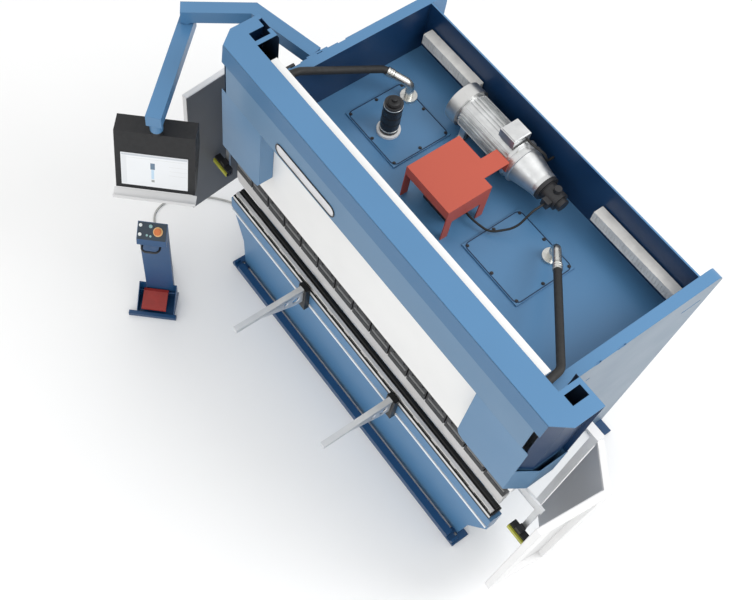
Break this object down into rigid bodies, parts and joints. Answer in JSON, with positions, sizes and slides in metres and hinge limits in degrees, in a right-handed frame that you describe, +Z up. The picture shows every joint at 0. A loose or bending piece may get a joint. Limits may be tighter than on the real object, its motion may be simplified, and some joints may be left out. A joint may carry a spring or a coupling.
{
  "type": "press brake",
  "caption": "Hydraulic press brake with folded ram cover, oil tank and pump on top, support arms, laser guarding, hinged side guards, operator panel on a pendant arm and a foot console.",
  "frame": {"origin": "centre of the four anchor holes, on the floor", "axes": "+X right along the bending length, +Y to the back of the machine, +Z up"},
  "size_m": [4.3321, 2.6858, 2.745],
  "materials": {
    "blue_paint": "semi-gloss powder coat",
    "deep_blue_paint": "semi-gloss powder coat",
    "white_paint": "satin powder coat",
    "guard_white": "satin powder coat",
    "guard_grey": "satin powder coat",
    "red_paint": "satin powder coat",
    "duct_grey": "matte",
    "tool_steel": "ground",
    "bare_steel": "brushed",
    "black_steel": "blackened",
    "chromed_steel": "polished",
    "zinc_steel": "zinc plated",
    "cast_aluminium": "cast, satin",
    "aluminium_profile": "anodised",
    "black_plastic": "fine grain",
    "laser_plastic": "black with a yellow front",
    "screen_white": "glass-smooth",
    "light_grey_paint": "satin",
    "white_plastic": "gloss",
    "orange_plastic": "gloss",
    "pedal_red": "satin",
    "hose_rubber": "matte",
    "cord_jacket": "matte"
  },
  "bodies": {
    "frame": {"side_frame_left": "blue_paint", "side_frame_right": "blue_paint", "oil_tank": "blue_paint", "bed_beam": "blue_paint", "floor_beam": "deep_blue_paint", "arm_rail": "zinc_steel", "die_holder": "bare_steel", "dies": "tool_steel", "cylinders": "black_steel", "guide_rails": "bare_steel", "cover_top": "blue_paint", "cover_face": "blue_paint", "cowl_left": "blue_paint", "cowl_right": "blue_paint", "tank_covers": "blue_paint", "cover_bolts": "black_steel", "air_filter": "black_plastic", "hose_fittings": "zinc_steel", "hoses": "hose_rubber", "motor_body": "cast_aluminium", "fan_cowl": "bare_steel", "bell_housing": "cast_aluminium", "pump": "black_steel", "terminal_box": "cast_aluminium", "valve_block": "black_steel", "valve_cover": "red_paint", "cable_ducts": "duct_grey", "guard_brackets": "guard_white", "pendant_arm_fixed": "blue_paint", "console_column": "deep_blue_paint", "pedal_guard": "deep_blue_paint", "console_cord": "cord_jacket"},
    "ram": {"ram_plate": "white_paint", "ram_stiffener": "white_paint", "piston_rods": "chromed_steel", "punch_clamps": "black_steel", "punches": "tool_steel", "laser_brackets": "aluminium_profile"},
    "laser_unit_left": {"laser_left": "laser_plastic"},
    "laser_unit_right": {"laser_right": "laser_plastic"},
    "support_arm_left": {"arm_left_profile": "aluminium_profile", "arm_left_bracket": "black_steel"},
    "support_arm_right": {"arm_right_profile": "aluminium_profile", "arm_right_bracket": "black_steel"},
    "guard_door_left": {"guard_left": "guard_white", "guard_left_panel": "guard_grey"},
    "guard_door_right": {"guard_right": "guard_white", "guard_right_panel": "guard_grey"},
    "pendant_arm": {"pendant_arm_swing": "blue_paint"},
    "operator_panel": {"panel_housing": "black_plastic", "panel_screen": "screen_white", "panel_shelf": "light_grey_paint"},
    "start_button_upper": {"button_upper": "white_plastic"},
    "start_button_lower": {"button_lower": "white_plastic"},
    "emergency_stop": {"stop_button": "orange_plastic"},
    "foot_pedal": {"pedal": "pedal_red"},
    "back_gauge": {"gauge_beam": "aluminium_profile"},
    "gauge_stop_left": {"gauge_finger_left": "bare_steel"},
    "gauge_stop_right": {"gauge_finger_right": "bare_steel"},
    "motor_shaft": {"motor_rotor": "bare_steel"}
  },
  "joints": [
    {"name": "ram_stroke", "type": "slide", "parent": "frame", "child": "ram", "axis": [0, 0, -1], "range_m": [0, 0.124]},
    {"name": "laser_left_height", "type": "slide", "parent": "ram", "child": "laser_unit_left", "axis": [0, 0, 1], "range_m": [0, 0.15]},
    {"name": "laser_right_height", "type": "slide", "parent": "ram", "child": "laser_unit_right", "axis": [0, 0, 1], "range_m": [0, 0.15]},
    {"name": "arm_left_slide", "type": "slide", "parent": "frame", "child": "support_arm_left", "axis": [1, 0, 0], "range_m": [-0.85, 0.9]},
    {"name": "arm_right_slide", "type": "slide", "parent": "frame", "child": "support_arm_right", "axis": [1, 0, 0], "range_m": [-0.9, 0.9]},
    {"name": "guard_left_hinge", "type": "hinge", "parent": "frame", "child": "guard_door_left", "pos_m": [-1.66, -0.27, 1.2], "axis": [0, 0, -1], "range_deg": [0, 95]},
    {"name": "guard_right_hinge", "type": "hinge", "parent": "frame", "child": "guard_door_right", "pos_m": [1.66, -0.27, 1.2], "axis": [0, 0, 1], "range_deg": [0, 95]},
    {"name": "pendant_swing", "type": "hinge", "parent": "frame", "child": "pendant_arm", "pos_m": [-2.198, -0.735, 2.25], "axis": [0, 0, 1], "range_deg": [-60, 10]},
    {"name": "panel_swivel", "type": "hinge", "parent": "pendant_arm", "child": "operator_panel", "pos_m": [-1.65, -1.338, 2.1], "axis": [0, 0, 1], "range_deg": [-70, 60]},
    {"name": "upper_button_press", "type": "slide", "parent": "frame", "child": "start_button_upper", "axis": [-0.4247, 0.3824, -0.8206], "range_m": [0, 0.004], "stiffness_N_per_m": 800, "springref_m": -0.002},
    {"name": "lower_button_press", "type": "slide", "parent": "frame", "child": "start_button_lower", "axis": [-0.4247, 0.3824, -0.8206], "range_m": [0, 0.004], "stiffness_N_per_m": 800, "springref_m": -0.002},
    {"name": "stop_press", "type": "slide", "parent": "frame", "child": "emergency_stop", "axis": [-0.4247, 0.3824, -0.8206], "range_m": [0, 0.005], "stiffness_N_per_m": 1500, "springref_m": -0.003},
    {"name": "pedal_press", "type": "hinge", "parent": "frame", "child": "foot_pedal", "pos_m": [-1.58877, -1.53816, 0.096], "axis": [0.6691, 0.7431, 0], "range_deg": [0, 8], "stiffness_Nm_per_rad": 50, "springref_deg": -17.19},
    {"name": "gauge_depth", "type": "slide", "parent": "frame", "child": "back_gauge", "axis": [0, 1, 0], "range_m": [0, 0.55]},
    {"name": "stop_left_slide", "type": "slide", "parent": "back_gauge", "child": "gauge_stop_left", "axis": [1, 0, 0], "range_m": [-0.6, 0.35]},
    {"name": "stop_right_slide", "type": "slide", "parent": "back_gauge", "child": "gauge_stop_right", "axis": [1, 0, 0], "range_m": [-0.35, 0.6]},
    {"name": "motor_spin", "type": "hinge", "parent": "frame", "child": "motor_shaft", "pos_m": [-0.3, 0.5, 2.2], "axis": [1, 0, 0], "continuous": true}
  ]
}
